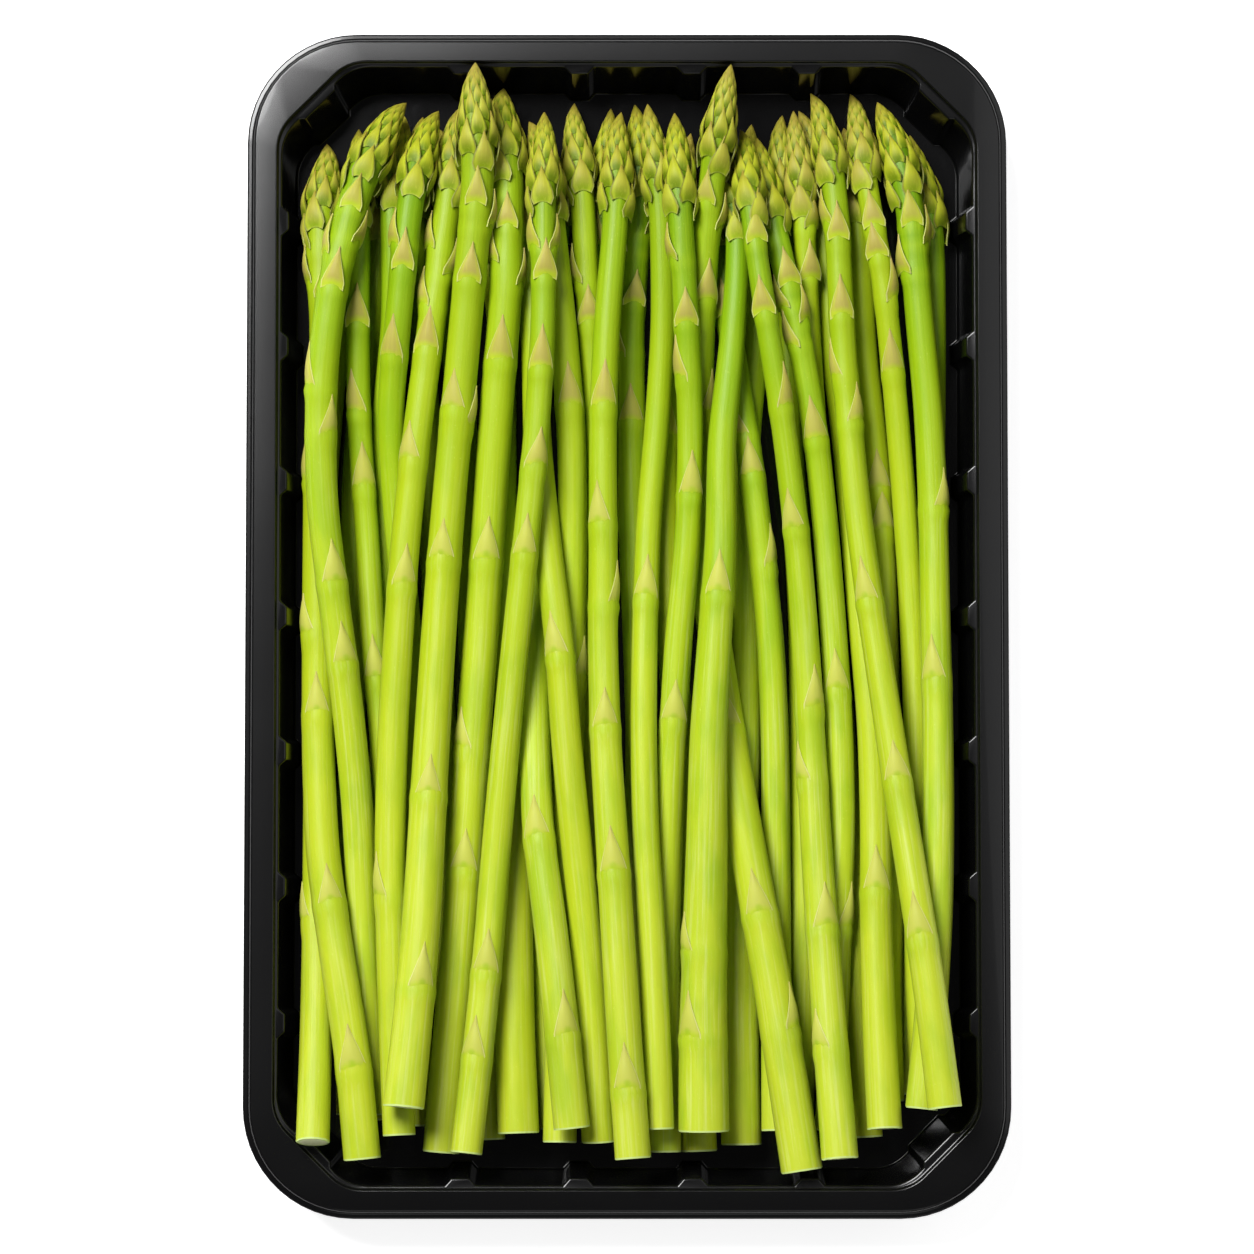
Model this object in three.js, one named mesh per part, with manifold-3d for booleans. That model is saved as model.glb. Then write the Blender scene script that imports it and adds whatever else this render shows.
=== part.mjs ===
// A bundle of green asparagus lying in a shallow moulded tray. Millimetres, +Z up.
// The origin is under the middle of the tray. The spears run along Y with their tips towards +Y.
import * as THREE from 'three';
import Module from 'manifold-3d';

const wasm = await Module();
wasm.setup();

// The tray. Every half is the distance from the middle to a long side, then to a short side.
const tray = {
  height: 17,
  sheet: 0.8,
  rimHalf: [76.1, 118.3],
  rimRadius: 22,
  rimSteps: 8,
  lipWidth: 1.5,
  lipDrop: 0.7,
  skirt: 3,
  mouthHalf: [70, 112.5],
  ledgeWidth: 0.8,
  ledgeDrop: 1,
  floorHalf: [67.2, 109],
  cornerCut: 14,
  cornerRadius: 9,
  cornerSteps: 3,
  bendShare: 0.4,
  grooveNarrowing: 0.4,
};
const rib = { rootHalf: 3, crestHalf: 1.8, depth: 1.4 };
const lug = { rootHalf: 5, crestHalf: 4.2, depth: 0.9 };
const shortSideRibs = [-33, -9.6, 13, 36.1];
const longSideRibs = [-79.7, -52.7, -25.7, 1.3, 28.3, 55.3, 80.5];

// The spears as seen from above: tip, x of the middle line at the six stations, cut end,
// diameter under the head, diameter at the cut end, and level in the pile at tip, middle and end.
const stations = [85, 55, 25, -5, -35, -65];
const spears = [
  [[-59.5, 97.7], [-61.1, -61.3, -62.5, -62.6, -60.5, -57.4], [-51.7, -106.1], 6.0, 7.4, [1.2, 1.5, 3.0]],
  [[-44.7, 105.7], [-54.1, -60.3, -60.9, -57.5, -54.5, -52.3], [-49.9, -97.7], 6.0, 6.6, [3.6, 3.6, 2.2]],
  [[-54.3, 101.1], [-54.5, -55.0, -52.4, -50.9, -48.5, -46.7], [-45.1, -99.1], 4.6, 5.4, [2.2, 1.7, 1.5]],
  [[-43.5, 103.3], [-48.3, -50.9, -50.7, -50.5, -50.3, -49.9], [-48.7, -98.7], 4.8, 5.6, [1.4, 1.2, 1.2]],
  [[-39.3, 104.1], [-45.1, -46.9, -46.4, -45.1, -43.7, -42.5], [-41.5, -99.9], 5.4, 6.0, [2.3, 1.8, 1.5]],
  [[-34.3, 105.1], [-36.0, -39.8, -43.5, -45.7, -47.0, -46.5], [-45.0, -101.5], 5.6, 6.4, [2.7, 2.9, 2.4]],
  [[-30.3, 112.0], [-29.0, -32.3, -35.5, -37.7, -39.5, -41.1], [-43.8, -95.9], 6.4, 8.2, [3.5, 3.3, 3.3]],
  [[-25.5, 109.2], [-22.9, -25.5, -27.3, -29.4, -31.5, -33.5], [-36.7, -104.1], 6.4, 7.4, [3.0, 3.1, 3.2]],
  [[-19.1, 102.3], [-17.7, -12.5, -11.3, -11.5, -12.1, -12.7], [-13.2, -103.1], 5.6, 6.8, [2.0, 2.5, 2.2]],
  [[-16.4, 102.8], [-16.5, -16.7, -18.9, -22.1, -25.1, -27.5], [-31.7, -104.1], 4.8, 6.4, [3.2, 3.3, 3.3]],
  [[-11.7, 106.3], [-9.5, -8.1, -7.9, -7.7, -7.1, -6.5], [-6.1, -100.3], 4.8, 5.6, [2.8, 1.5, 1.3]],
  [[-2.7, 105.5], [-5.5, -6.5, -9.5, -11.9, -13.5, -14.3], [-14.5, -100.5], 4.8, 5.6, [2.3, 1.4, 1.2]],
  [[-17.9, 100.1], [-18.7, -18.5, -16.9, -13.3, -11.3, -8.5], [-5.8, -102.9], 5.4, 7.0, [1.2, 3.1, 3.0]],
  [[-21.5, 99.7], [-20.7, -19.9, -19.1, -18.3, -18.1, -14.1], [-11.0, -99.9], 5.2, 7.2, [1.1, 2.4, 3.3]],
  [[-24.5, 100.3], [-24.7, -24.5, -24.5, -24.3, -23.9, -22.9], [-21.7, -101.3], 5.2, 8.4, [1.1, 1.4, 2.6]],
  [[-2.1, 103.9], [-2.5, -5.1, -4.8, -4.9, -3.8, -1.9], [1.4, -105.9], 5.2, 7.2, [1.3, 3.0, 3.1]],
  [[1.9, 106.3], [1.7, 0.5, 2.1, 3.1, 2.5, 2.7], [3.5, -99.7], 5.6, 6.2, [2.7, 1.9, 1.5]],
  [[3.5, 105.4], [6.5, 7.3, 4.5, 3.6, 3.7, 5.1], [6.5, -100.3], 4.8, 6.0, [2.2, 3.0, 2.8]],
  [[9.7, 102.8], [10.9, 12.7, 13.0, 10.1, 8.5, 7.4], [7.8, -104.5], 4.8, 6.8, [3.4, 3.4, 2.7]],
  [[13.7, 100.5], [12.9, 9.0, 7.5, 8.9, 10.9, 12.9], [14.6, -104.3], 4.6, 7.8, [2.6, 2.3, 1.6]],
  [[20.7, 111.6], [17.8, 15.1, 14.5, 17.9, 22.2, 27.5], [34.7, -108.5], 5.2, 8.4, [3.2, 2.5, 3.3]],
  [[23.3, 100.1], [23.3, 28.5, 33.1, 35.8, 37.2, 39.0], [41.5, -106.1], 4.4, 7.4, [2.8, 3.3, 3.3]],
  [[16.9, 98.9], [18.1, 21.9, 25.7, 28.8, 29.6, 29.9], [29.5, -100.9], 4.8, 6.4, [1.3, 2.8, 1.9]],
  [[18.9, 98.3], [18.9, 19.1, 18.9, 17.4, 16.2, 15.4], [14.5, -100.7], 4.8, 10.4, [1.2, 3.4, 3.5]],
  [[25.5, 102.3], [24.9, 24.1, 23.7, 23.5, 23.1, 22.7], [22.7, -103.7], 5.2, 8.2, [1.6, 1.2, 1.4]],
  [[30.7, 104.1], [31.3, 32.9, 34.3, 35.3, 35.1, 34.9], [34.5, -99.1], 5.2, 5.8, [1.5, 1.2, 1.2]],
  [[26.1, 98.8], [28.9, 35.3, 39.3, 41.8, 43.1, 41.9], [40.1, -100.7], 4.6, 6.2, [3.0, 2.8, 2.2]],
  [[33.9, 104.3], [34.9, 36.9, 39.7, 42.1, 44.1, 46.1], [48.0, -102.2], 4.2, 6.6, [2.4, 2.2, 2.4]],
  [[35.5, 105.3], [38.3, 40.7, 44.5, 47.1, 48.9, 49.6], [50.8, -100.3], 5.0, 7.2, [1.6, 1.8, 2.6]],
  [[37.9, 108.2], [42.2, 43.4, 45.8, 49.7, 54.1, 58.7], [64.2, -95.9], 4.8, 7.0, [3.3, 3.4, 3.4]],
  [[46.3, 108.5], [48.3, 52.9, 55.8, 57.7, 58.9, 58.1], [56.9, -91.7], 4.4, 5.8, [2.9, 2.4, 1.8]],
  [[49.5, 105.9], [55.9, 59.5, 61.3, 61.7, 62.0, 61.0], [58.2, -96.3], 5.8, 6.4, [3.4, 3.1, 2.4]],
  [[56.1, 99.7], [60.3, 61.7, 61.9, 61.3, 60.3, 57.5], [55.1, -93.7], 5.0, 5.6, [2.2, 1.8, 1.3]],
  [[43.7, 101.7], [44.5, 44.9, 49.3, 51.9, 52.3, 53.1], [53.9, -94.7], 5.0, 6.0, [1.3, 2.2, 1.6]],
  [[-56.3, 95.3], [-57.9, -59.1, -59.9, -60.9, -62.1, -62.7], [-62.8, -102.9], 5.4, 6.9, [1.3, 1.6, 2.2]],
  [[-51.1, 98.3], [-51.5, -52.3, -53.3, -54.3, -55.5, -56.5], [-54.9, -97.7], 5.2, 6.0, [1.2, 1.0, 1.0]],
  [[-38.5, 101.9], [-35.9, -33.5, -32.1, -30.5, -29.1, -28.1], [-27.3, -102.7], 5.2, 6.2, [1.2, 1.0, 1.0]],
  [[-42.3, 103.9], [-41.9, -40.9, -39.5, -38.1, -36.7, -35.9], [-35.1, -98.3], 5.2, 6.2, [1.0, 1.0, 1.0]],
];

// The leaf scales on each numbered spear's stem below its head: how far along Y, and the side that
// each faces, in degrees round the stem from straight up, with the right-hand side positive.
const stemScales = {
  1: [[75.3, -75], [68.7, -75], [65.7, 10], [28.7, -60], [-2.3, -60], [-18.5, 0], [-56.3, 10], [-88.7, 0]],
  2: [[82.1, 0], [76.1, 70], [72.9, -70], [66.3, 0], [46.3, -70], [37.3, 50], [7.5, 20], [-8.3, 20]],
  3: [[60.1, 0], [42.5, -30], [27.5, 10], [-11.3, 0]],
  5: [[75.3, -60], [70.7, 0], [53.1, -20]],
  6: [[74.9, -60], [69.9, 60], [63.5, -60], [54.3, -10], [32.1, -30], [7.3, 10], [-54.9, -60]],
  7: [[83.5, 0], [79.5, 75], [68.3, 0], [42.5, -20], [39.5, 80], [12.7, -10], [-34.9, 0], [-73.1, 20]],
  8: [[79.1, 0], [72.3, -60], [68.1, 70], [52.7, 0], [12.7, 0], [-25.1, -50], [-49.3, 0]],
  9: [[43.7, 10], [-10.9, 60]],
  10: [[74.5, -60], [74.1, 70], [68.3, 10], [50.1, 0], [30.7, 20], [12.9, 0], [-69.7, 0], [-86.7, -20]],
  11: [[69.1, -70], [61.1, 0]],
  12: [[76.9, -20], [67.3, 70]],
  13: [[-6.9, -20]],
  14: [[-43.3, -10], [-82.3, 20]],
  16: [[43.3, 0], [19.5, -20], [3.5, 70], [-21.1, 0], [-50.1, 0], [-92.7, 0]],
  17: [[79.9, 70], [76.1, -70], [65.3, 10], [55.1, -70], [41.1, 0]],
  18: [[5.1, 0]],
  19: [[72.9, -70], [59.9, 0], [49.1, -60], [25.5, 10], [-19.7, 0], [-97.1, 0]],
  20: [[38.1, 0]],
  21: [[84.5, -20], [79.9, 70], [65.3, 20], [42.7, 60], [-21.3, 0], [-58.3, 0], [-81.1, 60]],
  22: [[75.7, 10], [61.5, -10], [42.7, 50], [18.7, -20], [-17.1, 30], [-31.5, -60], [-60.9, 20],
    [-84.5, -50]],
  23: [[62.3, -10], [37.7, -50], [29.7, 0], [11.7, 60]],
  24: [[5.3, 0], [-65.5, -70], [-82.3, -40]],
  27: [[67.9, 10], [63.7, -60], [60.5, 60], [55.9, -60], [36.9, 0], [-13.3, 0], [-60.5, 50]],
  28: [[80.1, 50], [69.7, 20]],
  29: [[-53.7, 0]],
  30: [[80.7, -70], [77.3, 0], [61.7, 0], [49.3, -70], [40.3, 50], [3.9, -20], [-31.9, 0], [-62.9, -10]],
  31: [[79.9, 0], [73.9, -10], [65.3, 60], [50.9, 0]],
  32: [[80.3, 0], [76.7, 70], [70.9, -60], [22.9, 50], [-11.7, -20]],
  34: [[27.3, 0], [19.1, 10]],
  35: [[-59.7, -70]],
};

const head = {
  length: 22,
  collar: 3,
  shoulder: 0.7,
  fullness: 1.08,
  roundness: 0.75,
  tiers: 7,
  firstTier: 2.2,
  lip: 0.4,
  scaleLift: 0.55,
  fullLift: 7,
};
const scale = { length: 8, halfAngle: 43, lift: 0.7, tipLift: 0.3, cornerSink: 0.9, rootOffset: 3 };
const stem = { columns: 8, ringGap: 22, taper: 1.2, chopDepth: 0.35, finest: 0.05 };

// How the pile settles: slices across the tray, control points along each spear, and the fall.
const pile = {
  sliceGap: 5,
  firstSlice: -105,
  lastSlice: 110,
  sliceSlack: 1,
  stationInset: 6,
  controlGap: 28,
  levelHeight: 11,
  clearance: 0.6,
  fall: 0.05,
  steps: 1100,
  fallingSteps: 900,
  straighten: 0.02,
  holdInView: 0.1,
  holdBelow: 0.006,
  pairReach: 13,
  leastApart: 0.1,
  viewLevel: 2.2,
  tipInset: 1.5,
  scaleRoom: 0.1,
};

// Half-width of a spear at a distance from its tip, without its scales
function stemRadius(spear, fromTip) {
  const neck = spear.neck / 2;
  if (fromTip <= 0) return 0;
  if (fromTip < head.length) {
    const along = fromTip / head.length;
    const crown = neck * head.fullness;
    if (along < head.shoulder) {
      const rise = 1 - along / head.shoulder;
      return crown * Math.pow(1 - rise * rise, head.roundness);
    }
    return THREE.MathUtils.lerp(crown, neck, (along - head.shoulder) / (1 - head.shoulder));
  }
  const along = Math.min(1, (fromTip - head.length) / (spear.length - head.length));
  return neck + (spear.base / 2 - neck) * Math.pow(along, stem.taper);
}

// Smooth curve through points given as [y, value], in rising y
function smoothAt(points, y) {
  let i = 0;
  while (i < points.length - 2 && y > points[i + 1][0]) i += 1;
  const slope = (a, b) => (points[b][1] - points[a][1]) / (points[b][0] - points[a][0]);
  const span = points[i + 1][0] - points[i][0];
  const t = (y - points[i][0]) / span;
  const before = i > 0 ? slope(i - 1, i + 1) : slope(i, i + 1);
  const after = i < points.length - 2 ? slope(i, i + 2) : slope(i, i + 1);
  const [from, to] = [points[i][1], points[i + 1][1]];
  const t2 = t * t;
  const t3 = t2 * t;
  return (2 * t3 - 3 * t2 + 1) * from + (t3 - 2 * t2 + t) * span * before
    + (3 * t2 - 2 * t3) * to + (t3 - t2) * span * after;
}

// The measured rows as objects, each with its path across the tray and its slices
function readSpear([tip, across, end, neck, base, levels], index) {
  const [low, high] = [end[1] + pile.stationInset, tip[1] - pile.stationInset];
  const path = stations.map((y, k) => [y, across[k]]).filter(([y]) => y > low && y < high);
  const points = [[tip[1], tip[0]], ...path, [end[1], end[0]]].reverse();
  const spear = { index: index + 1, tip, end, neck, base, length: tip[1] - end[1], points, slices: [] };
  const controls = Math.floor(spear.length / pile.controlGap) + 4;
  const heights = [[end[1], levels[2]], [(tip[1] + end[1]) / 2, levels[1]], [tip[1], levels[0]]];
  spear.lifts = [];
  spear.shifts = new Array(controls).fill(0);
  for (let c = 0; c < controls; c += 1) {
    const y = THREE.MathUtils.clamp(end[1] + (c - 1) * pile.controlGap, end[1], tip[1]);
    spear.lifts.push(tray.sheet + smoothAt(heights, y) * pile.levelHeight);
  }
  for (let y = pile.firstSlice; y <= pile.lastSlice; y += pile.sliceGap) {
    if (y < end[1] - pile.sliceSlack || y > tip[1] - pile.sliceSlack) continue;
    addSlice(spear, y, smoothAt(heights, y) > pile.viewLevel);
  }
  addSlice(spear, end[1], true);
  addSlice(spear, tip[1] - pile.tipInset, true);
  return spear;
}

// A slice through a spear: where it is, and the radius that its slant and its scales give it
function addSlice(spear, y, held) {
  const [x, ahead] = [y, y + 1].map((place) => smoothAt(spear.points, place));
  const scales = spear.tip[1] - y < head.length + head.collar ? head.scaleLift : pile.scaleRoom;
  const radius = (stemRadius(spear, spear.tip[1] - y) + scales) * Math.hypot(1, ahead - x);
  const weights = controlWeights((y - spear.end[1]) / pile.controlGap);
  spear.slices.push({ y, x, radius, weights, held, spear });
}

// Weights of the four control points of a uniform cubic curve at a place along it
function controlWeights(place) {
  const first = Math.max(0, Math.floor(place));
  const t = place - first;
  const values = [
    Math.pow(1 - t, 3) / 6,
    (3 * t * t * t - 6 * t * t + 4) / 6,
    (-3 * t * t * t + 3 * t * t + 3 * t + 1) / 6,
    (t * t * t) / 6,
  ];
  return { first, values, total: values.reduce((sum, w) => sum + w * w, 0) };
}

function blend(controls, weights) {
  return weights.values.reduce((sum, w, k) => sum + w * controls[weights.first + k], 0);
}

function push(controls, weights, amount) {
  weights.values.forEach((w, k) => {
    controls[weights.first + k] += (amount * w) / weights.total;
  });
}

const heightOf = (slice) => blend(slice.spear.lifts, slice.weights);
const acrossOf = (slice) => slice.x + blend(slice.spear.shifts, slice.weights);

// Half of the room between the tray's long walls at a place along Y
function roomAt(y, half) {
  return half[0] - Math.max(0, Math.abs(y) - (half[1] - tray.cornerCut));
}

// Keeps a slice above the floor, inside the long walls, and on top of the rim where it reaches over it
function keepInTray(slice) {
  const reach = slice.radius + pile.clearance;
  const floor = tray.sheet + reach;
  const height = heightOf(slice);
  if (height < floor) push(slice.spear.lifts, slice.weights, floor - height);
  const draft = tray.mouthHalf[1] - tray.ledgeWidth - tray.floorHalf[1];
  const endWall = tray.floorHalf[1] + draft * Math.min(1, height / tray.height) - rib.depth;
  if (Math.abs(slice.y) > endWall && height < tray.height + reach) {
    push(slice.spear.lifts, slice.weights, tray.height + reach - height);
  }
  const x = acrossOf(slice);
  const room = roomAt(slice.y, [tray.floorHalf[0] - rib.depth, tray.floorHalf[1]]);
  const over = Math.abs(x) + reach - room;
  if (over <= 0) return;
  if (Math.abs(slice.y) < tray.floorHalf[1] - tray.cornerCut) {
    push(slice.spear.shifts, slice.weights, -Math.sign(x) * over);
    return;
  }
  const inside = Math.max(0, roomAt(slice.y, tray.mouthHalf) - tray.ledgeWidth - lug.depth - Math.abs(x));
  if (inside >= reach) return;
  const top = tray.height + Math.sqrt(reach * reach - inside * inside);
  if (height < top) push(slice.spear.lifts, slice.weights, top - height);
}

// Moves two slices apart until they only touch
function separate(a, b) {
  const dx = acrossOf(b) - acrossOf(a);
  const dz = heightOf(b) - heightOf(a);
  const apart = Math.hypot(dx, dz);
  const wanted = a.radius + b.radius + pile.clearance;
  if (apart >= wanted) return;
  const move = (wanted - apart) / (2 * Math.max(apart, pile.leastApart));
  push(a.spear.lifts, a.weights, -dz * move);
  push(b.spear.lifts, b.weights, dz * move);
  push(a.spear.shifts, a.weights, -dx * move);
  push(b.spear.shifts, b.weights, dx * move);
}

function settle(all) {
  const pairs = [];
  const slices = all.flatMap((spear) => spear.slices);
  for (let i = 0; i < slices.length; i += 1) {
    for (let j = i + 1; j < slices.length; j += 1) {
      const [a, b] = [slices[i], slices[j]];
      if (a.y === b.y && a.spear !== b.spear && Math.abs(a.x - b.x) < pile.pairReach) pairs.push([a, b]);
    }
  }
  for (let step = 0; step < pile.steps; step += 1) {
    if (step < pile.fallingSteps) {
      for (const spear of all) {
        const { lifts } = spear;
        for (let c = 0; c < lifts.length; c += 1) lifts[c] -= pile.fall;
        for (let c = 1; c < lifts.length - 1; c += 1) {
          lifts[c] += pile.straighten * (lifts[c - 1] + lifts[c + 1] - 2 * lifts[c]);
        }
      }
      for (const slice of slices) {
        const hold = slice.held ? pile.holdInView : pile.holdBelow;
        push(slice.spear.shifts, slice.weights, -hold * blend(slice.spear.shifts, slice.weights));
      }
    }
    for (const [a, b] of pairs) separate(a, b);
    for (const slice of slices) keepInTray(slice);
    for (const spear of all) {
      straightenEnds(spear.lifts);
      straightenEnds(spear.shifts);
    }
  }
}

// The outermost control points lie in line with their neighbours
function straightenEnds(controls) {
  const last = controls.length - 1;
  controls[0] = 2 * controls[1] - controls[2];
  controls[last] = 2 * controls[last - 1] - controls[last - 2];
}

// The middle line of a settled spear, from its cut end to its tip
function middleLine(spear) {
  const points = [];
  const ys = [...spear.slices.map((slice) => slice.y), spear.tip[1]].sort((a, b) => a - b);
  for (const y of ys) {
    const last = points[points.length - 1];
    if (last && y - last.y < pile.tipInset) continue;
    const weights = controlWeights((y - spear.end[1]) / pile.controlGap);
    const x = smoothAt(spear.points, y) + blend(spear.shifts, weights);
    points.push(new THREE.Vector3(x, y, blend(spear.lifts, weights)));
  }
  return new THREE.CatmullRomCurve3(points);
}

// A point on a spear's surface: its distance from the cut end, angle from straight up, and radius
function onSpear(line, length, fromEnd, angle, radius) {
  const t = THREE.MathUtils.clamp(fromEnd / length, 0, 1);
  const ahead = line.getTangentAt(t);
  const right = new THREE.Vector3(0, 0, 1).cross(ahead).negate().normalize();
  const up = right.clone().cross(ahead).normalize();
  return line.getPointAt(t)
    .addScaledVector(right, radius * Math.sin(angle))
    .addScaledVector(up, radius * Math.cos(angle));
}

function toSolid(points, faces) {
  const vertProperties = new Float32Array(points.flatMap((p) => [p.x, p.y, p.z]));
  const mesh = new wasm.Mesh({ numProp: 3, vertProperties, triVerts: new Uint32Array(faces.flat()) });
  return new wasm.Manifold(mesh);
}

// The stem and head in one: rings up the stem, then zigzag tiers whose raised points are the
// tips of the head's overlapping scales, then the pointed tip
function growBody(spear, line, length) {
  const { columns } = stem;
  const turn = (2 * Math.PI) / columns;
  const points = [];
  const raised = [];
  const faces = [];
  const addRing = (place) => {
    for (let j = 0; j < columns; j += 1) {
      const { fromTip, lift } = place(j);
      const radius = stemRadius(spear, fromTip) + lift;
      points.push(onSpear(line, length, length - fromTip, j * turn, radius));
      raised.push(lift > 0);
    }
  };
  const stemLength = length - head.length - head.collar;
  const stemRings = Math.ceil(stemLength / stem.ringGap);
  for (let k = 0; k <= stemRings; k += 1) {
    addRing(() => ({ fromTip: length - (stemLength * k) / stemRings, lift: 0 }));
  }
  const tierGap = (head.length - head.firstTier) / (head.tiers - 1);
  const swing = (tierGap - head.lip) / 2;
  for (let tier = head.tiers - 1; tier >= 0; tier -= 1) {
    const middle = head.firstTier + tier * tierGap;
    const lift = head.scaleLift * Math.min(1, middle / head.fullLift);
    addRing((j) => {
      const isTip = (j + tier) % 2 === 0;
      return { fromTip: middle + (isTip ? -swing : swing), lift: isTip ? lift : 0 };
    });
  }
  const lastRing = points.length - columns;
  for (let a = 0; a < lastRing; a += 1) {
    const b = (a + 1) % columns === 0 ? a + 1 - columns : a + 1;
    const [c, d] = [a + columns, b + columns];
    if (raised[c]) faces.push([a, b, d], [a, d, c]);
    else faces.push([a, b, c], [b, d, c]);
  }
  const tipPoint = points.length;
  const endPoint = tipPoint + 1;
  points.push(onSpear(line, length, length, 0, 0), onSpear(line, length, stem.chopDepth, 0, 0));
  for (let j = 0; j < columns; j += 1) {
    const next = (j + 1) % columns;
    faces.push([lastRing + j, lastRing + next, tipPoint], [endPoint, next, j]);
  }
  return toSolid(points, faces);
}

// A pointed scale that hugs the stem: two corners at its foot, a proud middle, a tip further up,
// and a root on the stem's middle line. It stands on the nearest edge of the faceted stem.
function growScale(spear, line, length, y, facing) {
  const fromEnd = (length * (y - spear.end[1])) / spear.length;
  const radius = stemRadius(spear, length - fromEnd);
  const turn = 360 / stem.columns;
  const side = THREE.MathUtils.degToRad(Math.round(facing / turn) * turn);
  const spread = THREE.MathUtils.degToRad(scale.halfAngle);
  const points = [
    onSpear(line, length, fromEnd, side - spread, radius * scale.cornerSink),
    onSpear(line, length, fromEnd, side + spread, radius * scale.cornerSink),
    onSpear(line, length, fromEnd, side, radius + scale.lift),
    onSpear(line, length, fromEnd + scale.length, side, radius + scale.tipLift),
    onSpear(line, length, fromEnd + scale.rootOffset, side, 0),
  ];
  const [left, right, foot, tip, root] = [0, 1, 2, 3, 4];
  const faces = [
    [left, foot, tip],
    [foot, right, tip],
    [foot, left, root],
    [right, foot, root],
    [tip, right, root],
    [left, tip, root],
  ];
  return toSolid(points, faces);
}

function toGeometry(solid) {
  const mesh = solid.getMesh();
  const geometry = new THREE.BufferGeometry();
  geometry.setAttribute('position', new THREE.BufferAttribute(mesh.vertProperties, 3));
  geometry.setIndex(new THREE.BufferAttribute(mesh.triVerts, 1));
  geometry.computeVertexNormals();
  return geometry;
}

function growSpear(spear) {
  const line = middleLine(spear);
  const length = line.getLength();
  const parts = [growBody(spear, line, length)];
  for (const [y, facing] of stemScales[spear.index] ?? []) {
    parts.push(growScale(spear, line, length, y, facing));
  }
  const whole = wasm.Manifold.union(parts).simplify(stem.finest);
  return toGeometry(whole);
}

// A closed outline at one height: rounded corners, and trapezoid ribs on the sides that have them.
// A corner is given as [x, y], anticlockwise, and a side's ribs as places along the side from its middle.
function outline(corners, radius, steps, height, ribsBySide) {
  const loop = [];
  corners.forEach((corner, i) => {
    const here = new THREE.Vector2(...corner);
    const toNext = new THREE.Vector2(...corners[(i + 1) % corners.length]).sub(here);
    const toLast = new THREE.Vector2(...corners[(i + corners.length - 1) % corners.length]).sub(here);
    const sideLength = toNext.length();
    toNext.normalize();
    toLast.normalize();
    const half = toNext.angleTo(toLast) / 2;
    const bisector = toNext.clone().add(toLast).normalize();
    const middle = here.clone().addScaledVector(bisector, radius / Math.sin(half));
    const sweep = Math.PI - 2 * half;
    const start = toLast.clone().multiplyScalar(radius / Math.tan(half)).add(here).sub(middle);
    for (let k = 0; k < steps; k += 1) {
      loop.push(start.clone().rotateAround(new THREE.Vector2(), (sweep * k) / (steps - 1)).add(middle));
    }
    const inward = new THREE.Vector2(-toNext.y, toNext.x);
    for (const { at, rootHalf, crestHalf, depth } of ribsBySide ? ribsBySide[i] : []) {
      const along = sideLength / 2 + at;
      const shape = [[-rootHalf, 0], [-crestHalf, depth], [crestHalf, depth], [rootHalf, 0]];
      for (const [offset, out] of shape) {
        loop.push(here.clone().addScaledVector(toNext, along + offset).addScaledVector(inward, out));
      }
    }
  });
  return loop.map((p) => new THREE.Vector3(p.x, p.y, height));
}

// Corners of the tray's mouth, with its cut corners, grown outwards by an offset
function cutCorners([halfX, halfY], offset) {
  const [x, y] = [halfX + offset, halfY + offset];
  const cut = tray.cornerCut + offset * (2 - Math.SQRT2);
  return [
    [x, y - cut],
    [x - cut, y],
    [cut - x, y],
    [-x, y - cut],
    [-x, cut - y],
    [cut - x, -y],
    [x - cut, -y],
    [x, cut - y],
  ];
}

function rimCorners(offset) {
  const [x, y] = [tray.rimHalf[0] + offset, tray.rimHalf[1] + offset];
  return [[x, y], [-x, y], [-x, -y], [x, -y]];
}

// The ribs of each side in the order of the cut corners. The underside's grooves are narrower.
function ribSides(narrowing) {
  const shape = (kind, at) => ({
    at,
    rootHalf: kind.rootHalf - narrowing,
    crestHalf: kind.crestHalf - narrowing,
    depth: kind.depth,
  });
  const corner = [shape(lug, 0)];
  const [top, bottom] = [shortSideRibs.map((x) => -x).reverse(), shortSideRibs];
  const [left, right] = [longSideRibs.map((y) => -y).reverse(), longSideRibs];
  return [corner, top.map((at) => shape(rib, at)), corner, left.map((at) => shape(rib, at)),
    corner, bottom.map((at) => shape(rib, at)), corner, right.map((at) => shape(rib, at))];
}

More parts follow.
